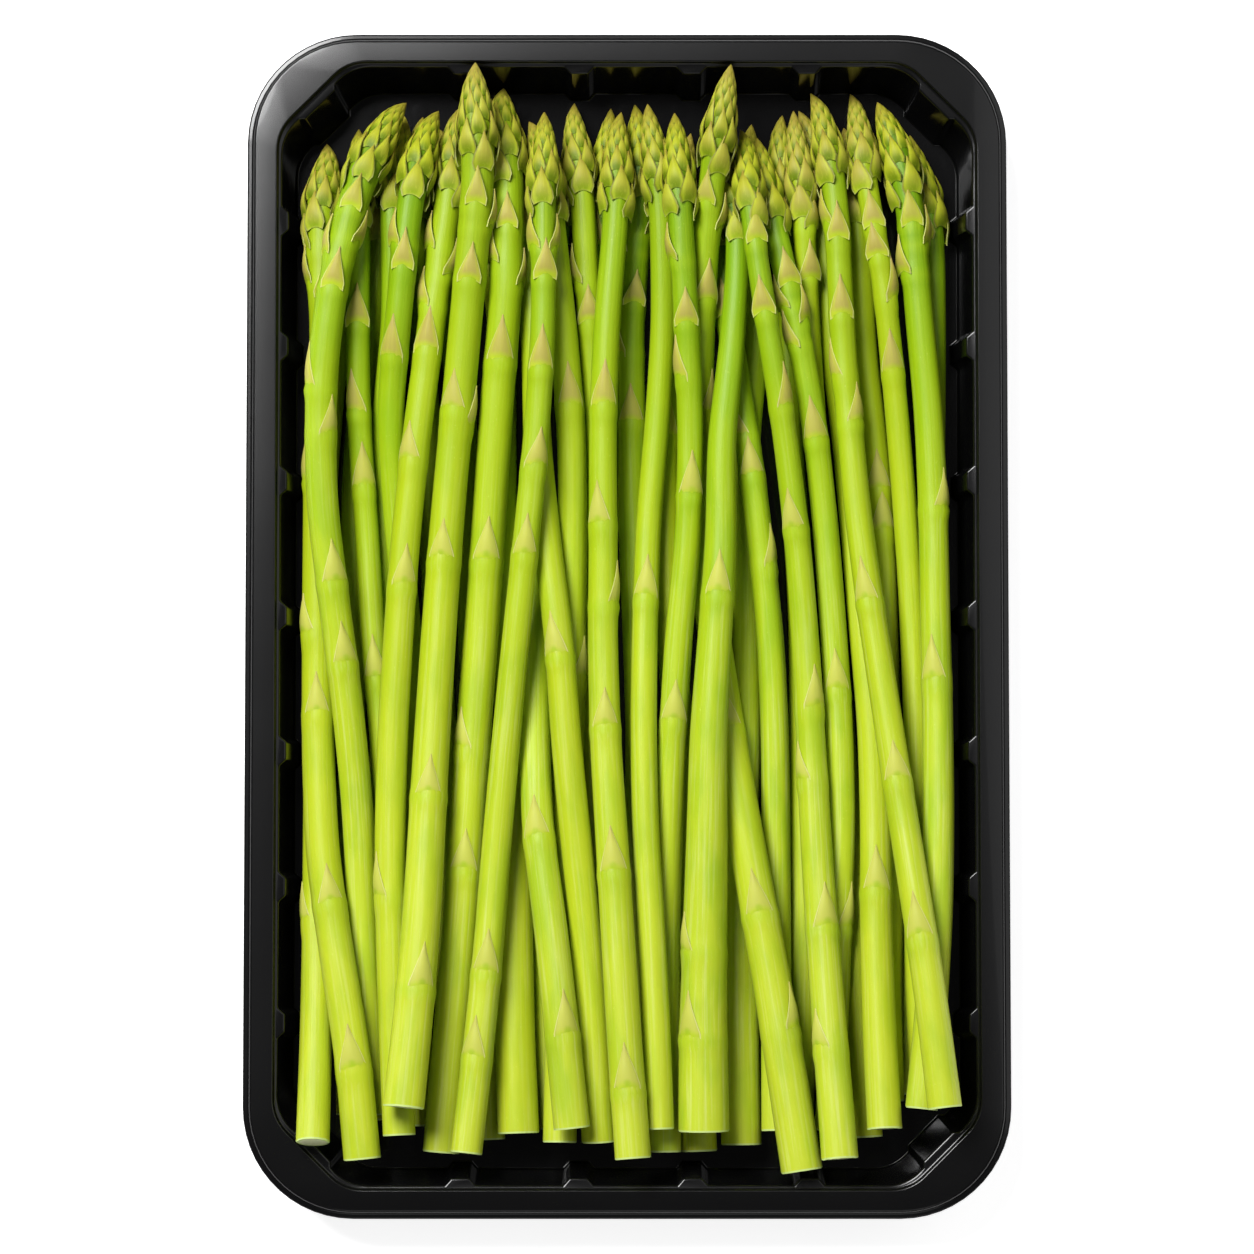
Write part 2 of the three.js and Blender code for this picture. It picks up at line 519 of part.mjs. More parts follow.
// The tray is one moulded sheet: its upper skin from the floor out to the lip, then back underneath
function mouldTray() {
  const { height, sheet, ledgeDrop, lipDrop, lipWidth, skirt, ledgeWidth } = tray;
  const wallTop = tray.mouthHalf.map((half) => half - ledgeWidth);
  const ledge = height - ledgeDrop;
  const steps = tray.cornerSteps;
  const bend = sheet * tray.bendShare;
  const [inside, underneath] = [ribSides(0), ribSides(tray.grooveNarrowing)];
  const walled = (half, offset, z, ribs) => {
    return outline(cutCorners(half, offset), tray.cornerRadius + offset, steps, z, ribs);
  };
  const mouth = (offset, z) => walled(tray.mouthHalf, offset, z, null);
  const rim = (offset, z) => {
    return outline(rimCorners(offset), tray.rimRadius + offset, tray.rimSteps, z, null);
  };
  const loops = [
    walled(tray.floorHalf, 0, sheet, inside),
    walled(wallTop, 0, ledge, inside),
    mouth(0, ledge),
    mouth(0, height),
    rim(-lipWidth, height),
    rim(bend - lipWidth, height - lipDrop),
    rim(0, height - lipDrop),
    rim(0, height - skirt),
    rim(-sheet, height - skirt),
    rim(-sheet, height - lipDrop - sheet),
    rim(-lipWidth - sheet, height - lipDrop - sheet),
    rim(-lipWidth - sheet - bend, height - sheet),
    mouth(sheet, height - sheet),
    mouth(sheet, ledge - sheet),
    walled(wallTop, sheet, ledge - sheet, underneath),
    walled(tray.floorHalf, sheet, 0, underneath),
  ];
  const points = loops.flat();
  const faces = [];
  const starts = loops.map((_, i) => loops.slice(0, i).reduce((sum, loop) => sum + loop.length, 0));
  const flat = (loop) => loop.map((p) => new THREE.Vector2(p.x, p.y));
  const reachOf = (loop) => Math.max(...loop.map((p) => p.x));
  for (let i = 0; i < loops.length - 1; i += 1) {
    const [count, nextCount] = [loops[i].length, loops[i + 1].length];
    if (count === nextCount) {
      for (let j = 0; j < count; j += 1) {
        const k = (j + 1) % count;
        const [a, b, c, d] = [starts[i] + j, starts[i] + k, starts[i + 1] + j, starts[i + 1] + k];
        faces.push([a, c, b], [b, c, d]);
      }
      continue;
    }
    // A level ring between two outlines with different numbers of points
    const [outer, inner] = reachOf(loops[i]) > reachOf(loops[i + 1]) ? [i, i + 1] : [i + 1, i];
    const ring = [...loops[outer].keys()].map((k) => starts[outer] + k)
      .concat([...loops[inner].keys()].map((k) => starts[inner] + k));
    const facesUp = inner < outer;
    for (const [a, b, c] of THREE.ShapeUtils.triangulateShape(flat(loops[outer]), [flat(loops[inner])])) {
      faces.push(facesUp ? [ring[a], ring[b], ring[c]] : [ring[a], ring[c], ring[b]]);
    }
  }
  for (const [i, facesUp] of [[0, true], [loops.length - 1, false]]) {
    for (const [a, b, c] of THREE.ShapeUtils.triangulateShape(flat(loops[i]), [])) {
      const corners = facesUp ? [a, b, c] : [a, c, b];
      faces.push(corners.map((k) => starts[i] + k));
    }
  }
  return toGeometry(toSolid(points, faces));
}

const blackPlastic = new THREE.MeshStandardMaterial({ color: 0x17181a, roughness: 0.25, metalness: 0 });
const freshGreen = new THREE.MeshStandardMaterial({ color: 0xa8c93a, roughness: 0.45, metalness: 0 });

const bundle = new THREE.Group();
const trayMesh = new THREE.Mesh(mouldTray(), blackPlastic);
trayMesh.name = 'tray';
bundle.add(trayMesh);

const settled = spears.map(readSpear);
settle(settled);
for (const spear of settled) {
  const mesh = new THREE.Mesh(growSpear(spear), freshGreen);
  mesh.name = `spear_${String(spear.index).padStart(2, '0')}`;
  bundle.add(mesh);
}

export default bundle;
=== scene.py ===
import math

import bmesh
import bpy
import numpy as np
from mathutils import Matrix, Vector


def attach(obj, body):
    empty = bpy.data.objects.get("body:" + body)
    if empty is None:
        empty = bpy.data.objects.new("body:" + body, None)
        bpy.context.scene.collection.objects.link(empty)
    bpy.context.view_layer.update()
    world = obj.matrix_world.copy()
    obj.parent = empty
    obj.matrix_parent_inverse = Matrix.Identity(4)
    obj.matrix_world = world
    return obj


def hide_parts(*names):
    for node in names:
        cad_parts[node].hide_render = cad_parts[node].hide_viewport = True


# Lengths of the spears and the tray are in millimetres. A finished piece is scaled to metres.
millimetre = 0.001
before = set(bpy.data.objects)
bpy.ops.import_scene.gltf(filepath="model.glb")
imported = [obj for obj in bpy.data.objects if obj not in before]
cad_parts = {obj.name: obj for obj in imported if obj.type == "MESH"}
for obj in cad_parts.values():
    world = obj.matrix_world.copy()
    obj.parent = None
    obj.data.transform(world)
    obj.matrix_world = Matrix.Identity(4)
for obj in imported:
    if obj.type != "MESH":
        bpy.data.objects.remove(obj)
bpy.context.view_layer.update()


print("frame loaded")


# Shader maths: a wrapped socket with operators
class Wire:
    def __init__(self, graph, socket):
        self.graph = graph
        self.socket = socket

    def maths(self, operation, *others):
        return self.graph.add("ShaderNodeMath", {"operation": operation}, [self, *others])

    def __add__(self, other):
        return self.maths("ADD", other)

    def __sub__(self, other):
        return self.maths("SUBTRACT", other)

    def __mul__(self, other):
        return self.maths("MULTIPLY", other)

    def __truediv__(self, other):
        return self.maths("DIVIDE", other)

    def __radd__(self, other):
        return self.maths("ADD", other)

    def __rmul__(self, other):
        return self.maths("MULTIPLY", other)

    def __rsub__(self, other):
        return self.graph.add("ShaderNodeMath", {"operation": "SUBTRACT"}, [other, self])

    # 0 below low, 1 above high, smooth between
    def between(self, low, high):
        inputs = {"Value": self, "From Min": low, "From Max": high}
        return self.graph.add("ShaderNodeMapRange", {"interpolation_type": "SMOOTHSTEP"}, inputs)

    # Stretches a vector by a factor on each axis
    def stretch(self, factors):
        inputs = {0: self, 1: factors}
        return self.graph.add("ShaderNodeVectorMath", {"operation": "MULTIPLY"}, inputs)


class Graph:
    def __init__(self, name):
        self.material = bpy.data.materials.new(name)
        self.material.use_nodes = True
        self.tree = self.material.node_tree
        self.shader = self.tree.nodes["Principled BSDF"]

    # Makes one node: its type, then its settings, then its inputs
    def add(self, kind, settings, inputs, output=0):
        node = self.tree.nodes.new(kind)
        for name, value in settings.items():
            if name == "stops":
                self.setStops(node.color_ramp, value)
            else:
                setattr(node, name, value)
        pairs = inputs.items() if isinstance(inputs, dict) else enumerate(inputs)
        for key, value in pairs:
            self.plug(value, node.inputs[key])
        return Wire(self, node.outputs[output])

    # Colours of a ramp, given as (place from 0 to 1, colour)
    def setStops(self, ramp, stops):
        ramp.interpolation = "B_SPLINE"
        for place, colour in stops[1:-1]:
            ramp.elements.new(place).color = (*colour, 1)
        ramp.elements[0].color = (*stops[0][1], 1)
        ramp.elements[-1].color = (*stops[-1][1], 1)

    def plug(self, value, socket):
        if isinstance(value, Wire):
            self.tree.links.new(value.socket, socket)
        elif isinstance(value, tuple) and len(value) == 3 and socket.type == "RGBA":
            socket.default_value = (*value, 1)
        else:
            socket.default_value = value

    def attribute(self, name, output="Fac"):
        return self.add("ShaderNodeAttribute", {"attribute_name": name}, {}, output)

    def noise(self, vector, scale, detail=3, roughness=0.5):
        inputs = {"Vector": vector, "Scale": scale, "Detail": detail, "Roughness": roughness}
        return self.add("ShaderNodeTexNoise", {}, inputs)

    # Blends two colours
    def mix(self, factor, first, second):
        return self.add("ShaderNodeMix", {"data_type": "RGBA"}, {0: factor, 6: first, 7: second}, 2)

    # A colour that changes along a value, from stops given as (value, colour)
    def ramp(self, value, stops):
        low, high = stops[0][0], stops[-1][0]
        shares = [((place - low) / (high - low), colour) for place, colour in stops]
        return self.add("ShaderNodeValToRGB", {"stops": shares}, [(value - low) / (high - low)])

    def bump(self, height, strength, distance):
        inputs = {"Height": height, "Strength": strength, "Distance": distance * millimetre}
        return self.add("ShaderNodeBump", {}, inputs)

    def finish(self, **inputs):
        for name, value in inputs.items():
            self.plug(value, self.shader.inputs[name.replace("_", " ")])
        return self.material


# A stem's skin. The stops are millimetres from the tip, and each grain stretches a pattern.
skin = {
    "stops": [
        (0, (0.16, 0.11, 0.010)),
        # The near-black stops at 5 and 14 mm lie inside the head: painted shade in the gaps between its
        # scales
        (5, (0.08, 0.14, 0.001)),
        (14, (0.07, 0.19, 0.001)),
        (24, (0.16, 0.32, 0.001)),
        (60, (0.29, 0.45, 0.002)),
        (120, (0.41, 0.53, 0.010)),
        (215, (0.49, 0.575, 0.032)),
    ],
    "upperStreak": (0.34, 0.52, 0.01),
    "lowerStreak": (0.63, 0.69, 0.26),
    "streakFrom": 30,
    "streakTo": 150,
    "blotch": (0.19, 0.38, 0.003),
    "yellowed": (0.46, 0.52, 0.010),
    "speckle": (0.62, 0.70, 0.14),
    # node: a darker ring just below each stem scale's foot, painted shade under the foot
    "node": (0.34, 0.50, 0.006),
    "streakGrain": (1.6, 0.035, 1.6),
    "blotchGrain": (0.22, 0.06, 0.22),
    "speckleGrain": (3.5, 1.4, 3.5),
}


# Deep green under the head, paler towards the cut end, with fine pale streaks
def skinMaterial():
    graph = Graph("asparagusSkin")
    fromTip = graph.attribute("fromTip")
    grain = graph.attribute("grain", "Vector")
    tone = graph.attribute("tone")
    # The node attribute marks the ring of painted shade just below each stem scale's foot
    node = graph.attribute("node")
    # Inside the head the ramp is near black, painted shade between the head's scales
    base = graph.ramp(fromTip, skin["stops"])
    streaks = graph.noise(grain.stretch(skin["streakGrain"]), 1.0, 4, 0.6)
    blotches = graph.noise(grain.stretch(skin["blotchGrain"]), 1.0, 2)
    speckle = graph.noise(grain.stretch(skin["speckleGrain"]), 1.0, 2)
    lower = fromTip.between(skin["streakFrom"], skin["streakTo"])
    streakColour = graph.mix(lower, skin["upperStreak"], skin["lowerStreak"])
    colour = graph.mix(streaks.between(0.46, 0.72) * 0.4, base, streakColour)
    colour = graph.mix(blotches.between(0.42, 0.7) * 0.4, colour, skin["blotch"])
    colour = graph.mix(tone * 0.5, colour, skin["yellowed"])
    colour = graph.mix(speckle.between(0.66, 0.8) * 0.3, colour, skin["speckle"])
    # Painted shade: a darker ring round the stem just below each stem scale's foot
    colour = graph.mix(node * 0.4, colour, skin["node"])
    height = streaks * 0.7 + speckle * 0.3
    return graph.finish(
        Base_Color=colour,
        Roughness=0.40 + streaks * 0.16,
        Normal=graph.bump(height, 0.5, 0.2),
        Subsurface_Weight=0.12,
        Subsurface_Radius=(0.6, 1.0, 0.2),
        Subsurface_Scale=0.0014,
        Specular_IOR_Level=0.28,
    )


# Leaf scales. Their colours pass from the head's to the stem's at the neck, and to greener ones low
# on the stem, at these distances from the tip.
scaleColours = {
    "neck": (14, 30),
    "lowStem": (45, 90),
    # headFoot is painted shade: the foot of a head scale lies under the tips of the scales below it
    "headFoot": (0.12, 0.19, 0.001),
    "headMiddle": (0.37, 0.42, 0.010),
    "headTip": (0.25, 0.17, 0.025),
    "crown": (0.24, 0.16, 0.022),
    "stemFoot": (0.43, 0.57, 0.015),
    "stemMiddle": (0.42, 0.38, 0.08),
    "stemTip": (0.43, 0.33, 0.11),
    "lowMiddle": (0.51, 0.56, 0.08),
    "olive": (0.34, 0.30, 0.025),
    "blush": (0.36, 0.28, 0.07),
    "margin": (0.45, 0.53, 0.02),
    "footMark": (0.28, 0.44, 0.006),
    # footHighlight: a pale line along a stem scale's raised foot, a painted highlight
    "footHighlight": (0.62, 0.64, 0.16),
    # edgeShade is painted shade in the gaps between overlapping scales
    "edgeShade": (0.07, 0.065, 0.005),
    "paleEdge": (0.70, 0.70, 0.28),
    "vein": (0.52, 0.53, 0.06),
    "veinGrain": (3.2, 0.12, 3.2),
}


# In the head darkened at the foot and the edges by painted shade, and brown at the tip. On the stem
# green at the foot with a painted highlight on its lip, beige above it and pale along the edges.
def leafMaterial():
    graph = Graph("asparagusScale")
    fromTip = graph.attribute("fromTip")
    up = graph.attribute("leafUp")
    across = graph.attribute("leafAcross")
    tone = graph.attribute("tone")
    blush = graph.attribute("blush")
    grain = graph.attribute("grain", "Vector")
    veins = graph.noise(grain.stretch(scaleColours["veinGrain"]), 1.0)
    onStem = fromTip.between(*scaleColours["neck"])
    low = fromTip.between(*scaleColours["lowStem"])
    middle = graph.mix(onStem, scaleColours["headMiddle"], scaleColours["stemMiddle"])
    middle = graph.mix(tone * 0.4, middle, scaleColours["olive"])
    middle = graph.mix(blush * (0.6 - 0.25 * onStem), middle, scaleColours["blush"])
    middle = graph.mix(low * 0.75, middle, scaleColours["lowMiddle"])
    # foot: painted shade in the head, where the scales below cover it, and the scale's own green on the
    # stem
    foot = graph.mix(onStem, scaleColours["headFoot"], scaleColours["stemFoot"])
    rise = up.between(0.04, 0.5) * (1 - onStem) + up.between(0.03, 0.24) * onStem
    colour = graph.mix(rise, foot, middle)
    margin = across.between(0.4, 0.75) * (1 - low)
    colour = graph.mix(margin * 0.45, colour, scaleColours["margin"])
    nearFoot = up.between(0.03, 0.1) * (1 - up.between(0.14, 0.26))
    footMark = (1 - across.between(0.05, 0.35)) * nearFoot * low
    colour = graph.mix(footMark * 0.5, colour, scaleColours["footMark"])
    # Painted highlight on the raised lip at a stem scale's foot
    footHighlight = (1 - up.between(0.0, 0.05)) * onStem
    colour = graph.mix(footHighlight * 0.5, colour, scaleColours["footHighlight"])
    # Painted shade along the scale edges, full in the head and weak on the stem
    edgeShade = across.between(0.72, 1.0) * (1 - 0.8 * onStem)
    colour = graph.mix(edgeShade * 0.9, colour, scaleColours["edgeShade"])
    tip = up.between(0.55, 1.0) * (0.4 + tone * 0.5) * (1 - 0.35 * low)
    tipColour = graph.mix(onStem, scaleColours["headTip"], scaleColours["stemTip"])
    colour = graph.mix(tip, colour, tipColour)
    crown = 1 - fromTip.between(0.5, 7)
    colour = graph.mix(crown * 0.6, colour, scaleColours["crown"])
    paleEdge = across.between(0.86, 0.97) * onStem
    colour = graph.mix(paleEdge * 0.6, colour, scaleColours["paleEdge"])
    colour = graph.mix(veins.between(0.5, 0.75) * 0.25, colour, scaleColours["vein"])
    return graph.finish(
        Base_Color=colour,
        Roughness=0.46 + veins * 0.14,
        Normal=graph.bump(veins, 0.3, 0.1),
        Subsurface_Weight=0.12,
        Subsurface_Radius=(0.6, 0.8, 0.2),
        Subsurface_Scale=0.0010,
        Specular_IOR_Level=0.22,
    )


cutEnd = {
    "greenish": (0.62, 0.68, 0.34),
    "cream": (0.74, 0.74, 0.46),
    "fibre": (0.42, 0.50, 0.18),
    "ring": (0.40, 0.56, 0.10),
    "fibreGrain": (1.9, 0.05, 1.9),
    "cloudGrain": (0.8, 0.8, 0.8),
}


# A cut end: pale and slightly fibrous, with a greener ring under the skin
def cutMaterial():
    graph = Graph("asparagusCut")
    grain = graph.attribute("grain", "Vector")
    radial = graph.attribute("leafAcross")
    bundles = grain.stretch(cutEnd["fibreGrain"])
    fibres = graph.add("ShaderNodeTexVoronoi", {}, {"Vector": bundles, "Scale": 1.0})
    cloud = graph.noise(grain.stretch(cutEnd["cloudGrain"]), 1.0)
    colour = graph.mix(cloud, cutEnd["greenish"], cutEnd["cream"])
    colour = graph.mix((1 - fibres.between(0.05, 0.35)) * 0.55, colour, cutEnd["fibre"])
    colour = graph.mix(radial.between(0.75, 0.95) * 0.7, colour, cutEnd["ring"])
    return graph.finish(
        Base_Color=colour,
        Roughness=0.5 + cloud * 0.2,
        Normal=graph.bump(fibres, 0.4, 0.15),
        Subsurface_Weight=0.15,
        Subsurface_Radius=(0.8, 0.8, 0.4),
        Subsurface_Scale=0.0015,
    )


# The rim's height is in metres, and the patterns' scales are per metre
plastic = {
    "black": (0.003, 0.003, 0.0032),
    "rim": (0.0145, 0.0165),
    "peelScale": 260,
    "smearScale": 22,
    "markScale": 95,
}


# Glossy black plastic, duller at the rim, with a faint orange peel and rows of small round marks
def plasticMaterial():
    graph = Graph("trayPlastic")
    place = graph.add("ShaderNodeTexCoord", {}, {}, "Object")
    height = graph.add("ShaderNodeSeparateXYZ", {}, {0: place}, 2)
    rim = height.between(*plastic["rim"])
    peel = graph.noise(place, plastic["peelScale"], 2)
    smear = graph.noise(place, plastic["smearScale"])
    grid = {"Vector": place, "Scale": plastic["markScale"], "Randomness": 0.0}
    marks = graph.add("ShaderNodeTexVoronoi", {}, grid)
    dots = 1 - marks.between(0.10, 0.2)
    return graph.finish(
        Base_Color=plastic["black"],
        Roughness=0.11 + rim * 0.08 + smear * 0.08,
        Normal=graph.bump(peel * 0.12 + dots * 0.5, 0.25, 0.12),
        Specular_IOR_Level=0.35,
        Coat_Weight=0.15,
        Coat_Roughness=0.04,
    )


materials = {
    "skin": skinMaterial(),
    "leaf": leafMaterial(),
    "cut": cutMaterial(),
    "plastic": plasticMaterial(),
}
print("materials made")

# Where each numbered spear's stem scales sit: place along Y, and the side that each faces,
# in degrees round the stem from straight up, with the right-hand side positive
stemScales = {
    1: [(75.3, -75), (68.7, -75), (65.7, 10), (28.7, -60), (-2.3, -60), (-18.5, 0), (-56.3, 10),
        (-88.7, 0)],
    2: [(82.1, 0), (76.1, 70), (72.9, -70), (66.3, 0), (46.3, -70), (37.3, 50), (7.5, 20), (-8.3, 20)],
    3: [(60.1, 0), (42.5, -30), (27.5, 10), (-11.3, 0)],
    5: [(75.3, -60), (70.7, 0), (53.1, -20)],
    6: [(74.9, -60), (69.9, 60), (63.5, -60), (54.3, -10), (32.1, -30), (7.3, 10), (-54.9, -60)],
    7: [(83.5, 0), (79.5, 75), (68.3, 0), (42.5, -20), (39.5, 80), (12.7, -10), (-34.9, 0), (-73.1, 20)],
    8: [(79.1, 0), (72.3, -60), (68.1, 70), (52.7, 0), (12.7, 0), (-25.1, -50), (-49.3, 0)],
    9: [(43.7, 10), (-10.9, 60)],
    10: [(74.5, -60), (74.1, 70), (68.3, 10), (50.1, 0), (30.7, 20), (12.9, 0), (-69.7, 0),
         (-86.7, -20)],
    11: [(69.1, -70), (61.1, 0)],
    12: [(76.9, -20), (67.3, 70)],
    13: [(-6.9, -20)],
    14: [(-43.3, -10), (-82.3, 20)],
    16: [(43.3, 0), (19.5, -20), (3.5, 70), (-21.1, 0), (-50.1, 0), (-92.7, 0)],
    17: [(79.9, 70), (76.1, -70), (65.3, 10), (55.1, -70), (41.1, 0)],
    18: [(5.1, 0)],
    19: [(72.9, -70), (59.9, 0), (49.1, -60), (25.5, 10), (-19.7, 0), (-97.1, 0)],
    20: [(38.1, 0)],
    21: [(84.5, -20), (79.9, 70), (65.3, 20), (42.7, 60), (-21.3, 0), (-58.3, 0), (-81.1, 60)],
    22: [(75.7, 10), (61.5, -10), (42.7, 50), (18.7, -20), (-17.1, 30), (-31.5, -60), (-60.9, 20),
         (-84.5, -50)],
    23: [(62.3, -10), (37.7, -50), (29.7, 0), (11.7, 60)],
    24: [(5.3, 0), (-65.5, -70), (-82.3, -40)],
    27: [(67.9, 10), (63.7, -60), (60.5, 60), (55.9, -60), (36.9, 0), (-13.3, 0), (-60.5, 50)],
    28: [(80.1, 50), (69.7, 20)],
    29: [(-53.7, 0)],
    30: [(80.7, -70), (77.3, 0), (61.7, 0), (49.3, -70), (40.3, 50), (3.9, -20), (-31.9, 0),
         (-62.9, -10)],
    31: [(79.9, 0), (73.9, -10), (65.3, 60), (50.9, 0)],
    32: [(80.3, 0), (76.7, 70), (70.9, -60), (22.9, 50), (-11.7, -20)],
    34: [(27.3, 0), (19.1, 10)],
    35: [(-59.7, -70)],
}

# How a spear is read from its solid: the gap between cuts and how near the cuts come to its ends,
# rounds of smoothing, the step of the finished line, and the area of an octagon one wide from
# its middle to a corner
lineRules = {
    "gap": 4,
    "endReach": 3,
    "tipReach": 2,
    "firstBlur": 2,
    "step": 1,
    "blur": 9,
    "neck": (25, 40),
    "baseCuts": 3,
    "octagon": 2 * math.sqrt(2),
}


# Centre and area of the cut that a level Y plane makes through a spear's triangles
def section(corners, y):
    above = corners[:, :, 1] > y
    crossing = corners[above.any(axis=1) & ~above.all(axis=1)]
    normals = np.cross(crossing[:, 1] - crossing[:, 0], crossing[:, 2] - crossing[:, 0])
    ends = []
    for triangle in crossing:
        found = []
        for a, b in ((0, 1), (1, 2), (2, 0)):
            first, second = triangle[a], triangle[b]
            if (first[1] > y) != (second[1] > y):
                share = (y - first[1]) / (second[1] - first[1])
                found.append((first + share * (second - first))[[0, 2]])
        ends.append(found)
    ends = np.array(ends)
    along = ends[:, 1] - ends[:, 0]
    wrongWay = along[:, 1] * normals[:, 0] - along[:, 0] * normals[:, 2] < 0
    ends[wrongWay] = ends[wrongWay][:, ::-1]
    p, q = ends[:, 0], ends[:, 1]
    turns = p[:, 0] * q[:, 1] - p[:, 1] * q[:, 0]
    area = turns.sum() / 2
    centre = ((p + q) * turns[:, None]).sum(axis=0) / (6 * area)
    return Vector((centre[0], y, centre[1])), abs(area)


def blurred(values, passes):
    for _ in range(passes):
        inner = (values[:-2] + 2 * values[1:-1] + values[2:]) / 4
        values = np.concatenate([values[:1], inner, values[-1:]])
    return values


# A spear's middle line from its cut end to its tip, and its radii, read from its CAD node
def readSpear(node):
    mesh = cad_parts[node].data
    mesh.calc_loop_triangles()
    points = np.array([v.co for v in mesh.vertices]) / millimetre
    corners = points[np.array([t.vertices for t in mesh.loop_triangles])]
    tip = points[points[:, 1].argmax()]
    low = points[:, 1].min()
    rim = np.unique(points[points[:, 1] < low + lineRules["endReach"]].round(2), axis=0)
    end = rim.mean(axis=0)
    count = int((tip[1] - end[1]) / lineRules["gap"])
    levels = np.linspace(end[1] + lineRules["endReach"], tip[1] - lineRules["tipReach"], count)
    cuts = [section(corners, y) for y in levels]
    line = np.array([end, *[list(centre) for centre, _ in cuts], tip])
    line = blurred(line, lineRules["firstBlur"])
    reach = np.concatenate([[0], np.linalg.norm(np.diff(line, axis=0), axis=1).cumsum()])
    places = np.linspace(0, reach[-1], int(reach[-1] / lineRules["step"]) + 1)
    fine = np.stack([np.interp(places, reach, line[:, k]) for k in range(3)], axis=1)
    fine = blurred(fine, lineRules["blur"])
    ahead = np.gradient(fine, places, axis=0)
    ahead /= np.linalg.norm(ahead, axis=1)[:, None]
    tilts = np.interp(levels, fine[:, 1], ahead[:, 1])
    radii = np.sqrt([area / lineRules["octagon"] for _, area in cuts] * tilts)
    fromTip = tip[1] - levels
    neckTop, neckFoot = lineRules["neck"]
    return {
        "places": places,
        "line": fine,
        "ahead": ahead,
        "length": places[-1],
        "neck": radii[(fromTip > neckTop) & (fromTip < neckFoot)].min(),
        "base": radii[:lineRules["baseCuts"]].min(),
    }


head = {
    "length": 22,
    "shoulder": 0.7,
    "fullness": 1.08,
    "roundness": 0.84,
    "leanFrom": 8,
    "lean": 1.1,
}
# Each end ring has its width and how far it moves into the spear
body = {
    "seed": 600,
    "sides": 20,
    "rings": 130,
    "headShare": 0.3,
    "taper": 1.2,
    "ovalness": 0.02,
    "ovalTwist": 0.02,
    "ridges": 5,
    "ridgeDepth": 0.01,
    "ridgeTwist": 0.05,
    "nodeLift": 0.3,
    "nodeRing": 0.14,
    "nodeLength": 1.5,
    "nodeBelow": 0.6,
    "nodeSpread": math.radians(60),
    "nodeReach": 3,
    "nodeShadeSharpness": 4,
    "endRings": ((0.175, -0.175), (0.35, -0.035)),
    "hollowWidth": 0.3,
    "hollowDepth": 0.19,
    "grainShift": 500,
    "sharpest": math.radians(55),
}


# Half-width of a spear at a distance from its tip, without its scales
def stemRadius(spear, fromTip):
    neck, base = spear["neck"], spear["base"]
    if fromTip <= 0:
        return 0
    if fromTip < head["length"]:
        along = fromTip / head["length"]
        crown = neck * head["fullness"]
        if along < head["shoulder"]:
            rise = 1 - along / head["shoulder"]
            return crown * (1 - rise * rise) ** head["roundness"]
        return crown + (neck - crown) * (along - head["shoulder"]) / (1 - head["shoulder"])
    along = min(1, (fromTip - head["length"]) / (spear["length"] - head["length"]))
    return neck + (base - neck) * along ** body["taper"]


# Smallest turn from one angle to another
def turnBetween(a, b):
    return (a - b + math.pi) % (2 * math.pi) - math.pi


# Straight body along Y from the cut end: a cone's rings moved to the spear's own outline
def growBody(shape, spear, scales, random):
    layers = spear["layers"]
    made = bmesh.ops.create_cone(
        shape, cap_ends=True, segments=body["sides"], radius1=1, radius2=0, depth=1
    )
    edges = {e for v in made["verts"] for e in v.link_edges}
    lengthwise = [e for e in edges if abs(e.verts[0].co.z - e.verts[1].co.z) > 0.5]
    bmesh.ops.subdivide_edges(shape, edges=lengthwise, cuts=body["rings"])
    length = spear["length"]
    stemLength = length - head["length"]
    wave = random.uniform(0, 2 * math.pi, 3)
    for v in shape.verts:
        share = v.co.z + 0.5
        angle = math.atan2(v.co.x, v.co.y)
        stemShare = 1 - body["headShare"]
        if share < stemShare:
            place = stemLength * share / stemShare
        else:
            place = stemLength + head["length"] * (share - stemShare) / body["headShare"]
        radius = stemRadius(spear, length - place)
        oval = math.sin(2 * angle + wave[0] + place * body["ovalTwist"])
        ridge = math.sin(body["ridges"] * angle + wave[1] + place * body["ridgeTwist"])
        radius *= 1 + body["ovalness"] * oval
        radius *= 1 + body["ridgeDepth"] * ridge
        node = 0
        for scale in scales:
            near = (place - scale["foot"] + body["nodeBelow"]) / body["nodeLength"]
            aside = turnBetween(angle, scale["facing"]) / body["nodeSpread"]
            if abs(near) < body["nodeReach"] and not scale["inHead"]:
                radius += body["nodeLift"] * math.exp(-near * near - aside * aside)
                radius += body["nodeRing"] * math.exp(-near * near)
                # node marks the painted shade, a darker ring just below each stem scale's foot
                node = max(node, math.exp(-body["nodeShadeSharpness"] * near * near))
        v.co = (radius * math.sin(angle), place, radius * math.cos(angle))
        v[layers["fromTip"]] = length - place
        v[layers["tone"]] = spear["tone"]
        v[layers["node"]] = node
    end = [f for f in shape.faces if len(f.verts) == body["sides"]]
    hollow = (spear["base"] * body["hollowWidth"], body["hollowDepth"])
    for width, inwards in (*body["endRings"], hollow):
        bmesh.ops.inset_region(shape, faces=end, thickness=width, depth=0, use_even_offset=True)
        bmesh.ops.translate(shape, verts=list(end[0].verts), vec=(0, inwards, 0))
        for f in {f for v in end[0].verts for f in v.link_faces}:
            f.material_index = 2
    cap = bmesh.ops.poke(shape, faces=end)
    for f in cap["faces"]:
        f.material_index = 2
    for v in {v for f in shape.faces if f.material_index == 2 for v in f.verts}:
        v[layers["leafAcross"]] = math.hypot(v.co.x, v.co.z) / spear["base"]


